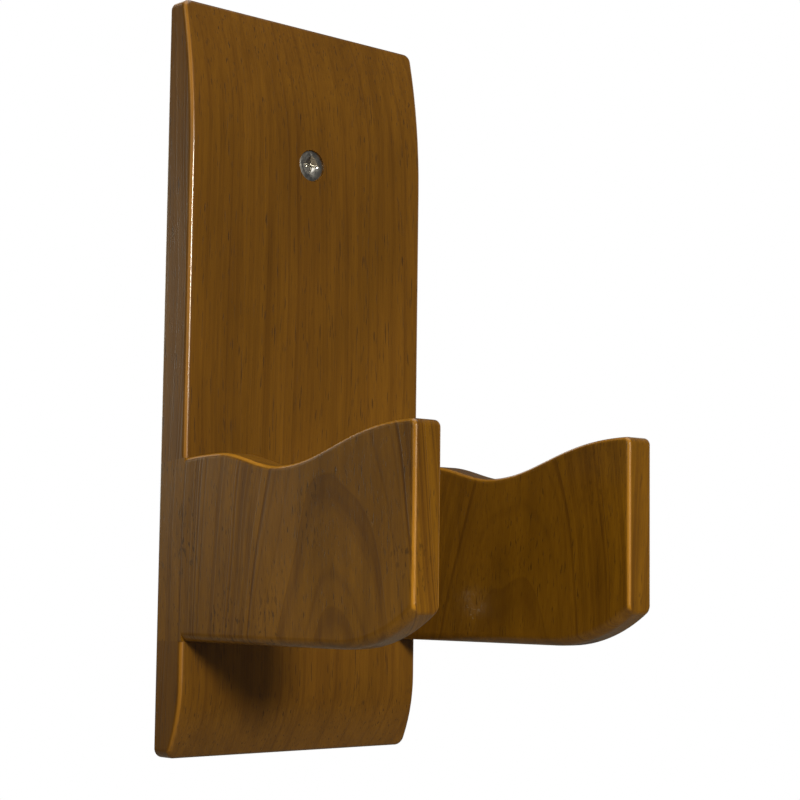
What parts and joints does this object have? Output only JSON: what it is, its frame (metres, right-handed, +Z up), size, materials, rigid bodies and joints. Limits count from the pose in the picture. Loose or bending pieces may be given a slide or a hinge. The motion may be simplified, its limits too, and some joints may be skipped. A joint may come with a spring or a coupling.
{
  "type": "wall guitar hanger",
  "caption": "Wooden wall hanger: a tall back board with flat side arms whose cradled tops carry a guitar's headstock.",
  "frame": {"origin": "centre of the back board's rear face, in the plane of the wall", "axes": "+X across the board to its right seen from the front, +Y into the wall, +Z up"},
  "size_m": [0.075, 0.1203, 0.183],
  "materials": {
    "board_wood": "semi-gloss varnish",
    "arm_wood": "semi-gloss varnish",
    "dowel_wood": "bare",
    "screw_steel": "zinc plated"
  },
  "bodies": {
    "root": {"back_board": "board_wood", "left_arm": "arm_wood", "right_arm": "arm_wood", "left_upper_dowel": "dowel_wood", "left_lower_dowel": "dowel_wood", "right_upper_dowel": "dowel_wood", "right_lower_dowel": "dowel_wood", "upper_wall_screw": "screw_steel", "lower_wall_screw": "screw_steel"}
  },
  "joints": []
}
